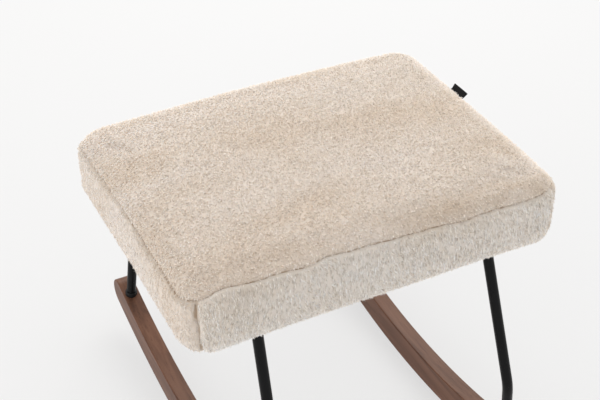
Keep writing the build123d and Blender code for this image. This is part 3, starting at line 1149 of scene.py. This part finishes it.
def buildStapleTree():
    tree, sockets, given = newGroup("staples", {
        "Float": (
            "Width", "Depth", "Corner", "Height", "Spacing", "Crown", "Wire",
            "Rail Place", "Rail Room", "Askew",
        ),
        "Int": ("Seed",),
        "Material": ("Plate",),
    })

    def roundedRectangle(width, height, radius, steps):
        outline = addNode(tree, "GeometryNodeCurvePrimitiveQuadrilateral", {"Width": width, "Height": height})
        return addNode(tree, "GeometryNodeFilletCurve", {
            "Curve": outline.outputs["Curve"], "Radius": radius, "Count": steps,
        }, mode="POLY").outputs["Curve"]

    # spots along the path, without those at the rails
    path = roundedRectangle(given["Width"], given["Depth"], given["Corner"], stapleLook["cornerSteps"])
    spots = addNode(tree, "GeometryNodeCurveToPoints", {
        "Curve": path, "Length": given["Spacing"],
    }, mode="LENGTH")
    place = addNode(tree, "GeometryNodeInputPosition").outputs["Position"]
    sideways = mathOn(tree, "ABSOLUTE", addNode(tree, "ShaderNodeSeparateXYZ", {0: place}).outputs["X"])
    offRail = mathOn(tree, "ABSOLUTE", mathOn(tree, "SUBTRACT", sideways, given["Rail Place"]))
    kept = addNode(tree, "GeometryNodeDeleteGeometry", {
        "Geometry": spots.outputs["Points"],
        "Selection": mathOn(tree, "LESS_THAN", offRail, given["Rail Room"]),
    }, domain="POINT")
    drop = addNode(tree, "ShaderNodeCombineXYZ", {"Z": given["Height"]})
    lowered = addNode(tree, "GeometryNodeSetPosition", {
        "Geometry": kept.outputs["Geometry"], "Offset": drop.outputs[0],
    })

    # one staple, open below
    bend = mathOn(tree, "MULTIPLY", given["Wire"], stapleLook["wireRound"])
    crown = roundedRectangle(given["Crown"], given["Wire"], bend, stapleLook["wireSteps"])
    wire = addNode(tree, "GeometryNodeFillCurve", {"Curve": crown}, mode="NGONS")
    raised = addNode(tree, "GeometryNodeExtrudeMesh", {
        "Mesh": wire.outputs["Mesh"],
        "Offset Scale": mathOn(tree, "MULTIPLY", given["Wire"], 0.5),
        "Individual": False,
    }, mode="FACES")

    # each lies along the path, a little askew
    heading = addNode(tree, "FunctionNodeAlignRotationToVector", {
        "Vector": spots.outputs["Tangent"],
    }, axis="X", pivot_axis="Z")
    widest = addNode(tree, "ShaderNodeCombineXYZ", {"Z": given["Askew"]}).outputs[0]
    askew = addNode(tree, "FunctionNodeRandomValue", {
        "Min": vectorOn(tree, "SCALE", widest, -1.0), "Max": widest, "Seed": given["Seed"],
    }, data_type="FLOAT_VECTOR")
    tilted = addNode(tree, "FunctionNodeRotateRotation", {
        "Rotation": heading.outputs["Rotation"], "Rotate By": askew.outputs[randomSockets["vector"]],
    }, rotation_space="LOCAL")
    driven = addNode(tree, "GeometryNodeInstanceOnPoints", {
        "Points": lowered.outputs["Geometry"],
        "Instance": raised.outputs["Mesh"],
        "Rotation": tilted.outputs["Rotation"],
    })
    finishGroup(tree, driven.outputs["Instances"], given["Plate"])
    return tree, sockets


dustCover = buildDustCover()
dustCover.data.materials.append(makeDustCloth())
stapleTree, stapleSockets = buildStapleTree()
staples = growFromTree(bpy.data.meshes.new("staples"), "staples", stapleTree, stapleSockets, {
    "Width": dustLook["width"] - 2 * stapleLook["inset"],
    "Depth": dustLook["depth"] - 2 * stapleLook["inset"],
    "Corner": dustLook["corner"],
    "Height": dustLook["height"] - stapleLook["drop"],
    "Spacing": stapleLook["spacing"],
    "Crown": stapleLook["length"],
    "Wire": stapleLook["wire"],
    "Rail Place": railCrossing["place"],
    "Rail Room": railCrossing["room"],
    "Askew": stapleLook["askew"],
    "Seed": stapleLook["seed"],
    "Plate": zincPlate,
})
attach(dustCover, "root")
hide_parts("dust_cover")
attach(staples, "root")
print("dust cover stapled with", len(staples.data.polygons), "faces of wire")


# stage: pale floor, soft light and the camera of the picture
stageSettings = {
    "floorHalf": 6,
    "floor": {"Base Color": (0.93, 0.93, 0.93, 1), "Roughness": 0.9, "Specular IOR Level": 0.1},
    "floorGlow": 0.75,
    "glow": (0.815, 0.815, 0.815, 1),
    "sky": (1.0, 1.0, 1.0, 1),
    "skyStrength": 0.93,
    "lampTint": (1.0, 0.965, 0.925),
    "softboxes": {
        "side": {"place": (-2.4, -0.2, 1.3), "target": (0, 0, 0.35), "size": (1.8, 1.4), "energy": 12.0},
        "back": {"place": (1.1, 1.9, 2.0), "target": (0, 0, 0.4), "size": (2.2, 1.2), "energy": 40.0},
    },
    "sensor": 36,
    "pictureWidth": 600,
    "focalPixels": 1169.62,
    "clip": (0.05, 60),
    "eye": (-0.5906, -1.0579, 1.2830),
    "right": (0.8854, -0.4644, 0.0175),
    "down": (-0.2694, -0.5437, -0.7948),
    "forward": (0.3787, 0.6990, -0.6066),
}


# the floor glows where it is seen, so that it stays as pale as the backdrop
def makePaleFloor():
    mat, tree, shader = newMaterial("pale floor", stageSettings["floor"])
    seen = addNode(tree, "ShaderNodeLightPath").outputs
    shows = mathOn(tree, "MAXIMUM", seen["Is Camera Ray"], seen["Is Glossy Ray"])
    glow = addNode(tree, "ShaderNodeEmission", {"Color": stageSettings["glow"]})
    pale = addNode(tree, "ShaderNodeMixShader", {
        0: mathOn(tree, "MULTIPLY", shows, stageSettings["floorGlow"]),
        1: shader.outputs[0],
        2: glow.outputs[0],
    })
    tree.links.new(pale.outputs[0], tree.nodes["Material Output"].inputs["Surface"])
    return mat


def addSoftbox(name, place, target, size, energy):
    light = bpy.data.lights.new(name, "AREA")
    light.shape = "RECTANGLE"
    light.size, light.size_y = size
    light.energy = energy
    light.color = stageSettings["lampTint"]
    box = bpy.data.objects.new(name, light)
    box.location = place
    box.rotation_euler = (Vector(target) - Vector(place)).to_track_quat("-Z", "Y").to_euler()
    scene.collection.objects.link(box)


def addCamera():
    camera = bpy.data.objects.new("picture camera", bpy.data.cameras.new("picture camera"))
    camera.data.sensor_width = stageSettings["sensor"]
    camera.data.sensor_fit = "HORIZONTAL"
    camera.data.lens = stageSettings["focalPixels"] / stageSettings["pictureWidth"] * stageSettings["sensor"]
    camera.data.clip_start, camera.data.clip_end = stageSettings["clip"]
    axes = [Vector(stageSettings["right"]), -Vector(stageSettings["down"]), -Vector(stageSettings["forward"])]
    camera.matrix_world = Matrix.Translation(stageSettings["eye"]) @ Matrix(axes).transposed().to_4x4()
    scene.collection.objects.link(camera)
    scene.camera = camera


half = stageSettings["floorHalf"]
floorCorners = [(-half, -half, 0), (half, -half, 0), (half, half, 0), (-half, half, 0)]
floor = addPlainMesh("floor", floorCorners, [(0, 1, 2, 3)])
floor.data.materials.append(makePaleFloor())

world = bpy.data.worlds.new("studio")
world.use_nodes = True
world.node_tree.nodes["Background"].inputs["Color"].default_value = stageSettings["sky"]
world.node_tree.nodes["Background"].inputs["Strength"].default_value = stageSettings["skyStrength"]
scene.world = world
for boxName, settings in stageSettings["softboxes"].items():
    addSoftbox(boxName + " softbox", **settings)
addCamera()
scene.view_settings.view_transform = "Standard"
print("stage set")
